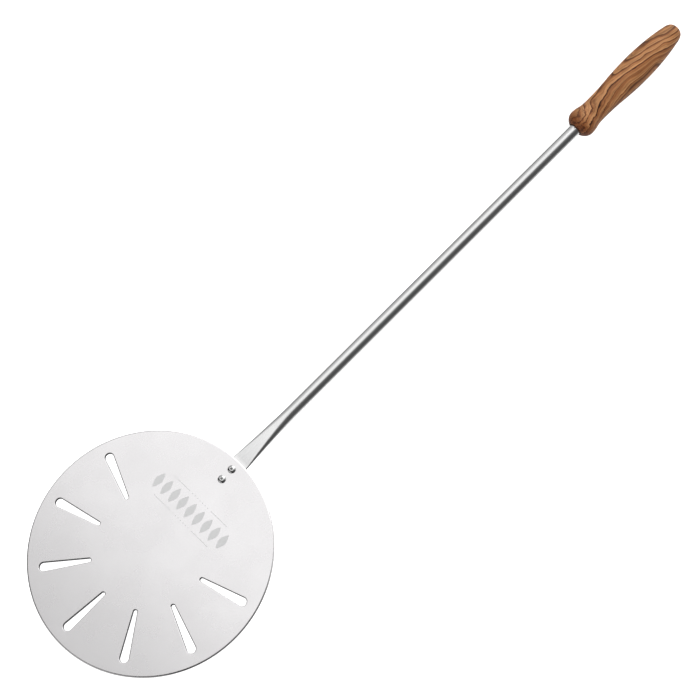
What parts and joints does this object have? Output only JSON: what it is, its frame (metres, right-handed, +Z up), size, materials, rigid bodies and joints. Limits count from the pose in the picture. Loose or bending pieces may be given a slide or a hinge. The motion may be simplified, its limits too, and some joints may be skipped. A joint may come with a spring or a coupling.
{
  "type": "turning pizza peel",
  "caption": "Long-handled turning peel with a slotted round steel blade riveted to a flattened steel tube and a turned wooden handle.",
  "frame": {"origin": "centre of the blade's upper carrying face", "axes": "+X along the shaft towards the handle, +Z up out of the carrying face, +Y to the left when looking along +X"},
  "size_m": [0.8215, 0.23, 0.029],
  "materials": {
    "blade_steel": "satin stainless steel sheet",
    "tube_steel": "polished stainless steel tube",
    "rivet_steel": "bright stainless steel",
    "rivet_pin_steel": "dull broken steel",
    "olive_wood": "oiled olive wood with dark flowing grain",
    "adhesive": "cured epoxy"
  },
  "bodies": {
    "root": {"blade": "blade_steel", "shaft": "tube_steel", "rivet_front": "rivet_steel", "rivet_rear": "rivet_steel", "rivet_front_pin": "rivet_pin_steel", "rivet_rear_pin": "rivet_pin_steel", "handle": "olive_wood", "handle_adhesive": "adhesive"}
  },
  "joints": []
}
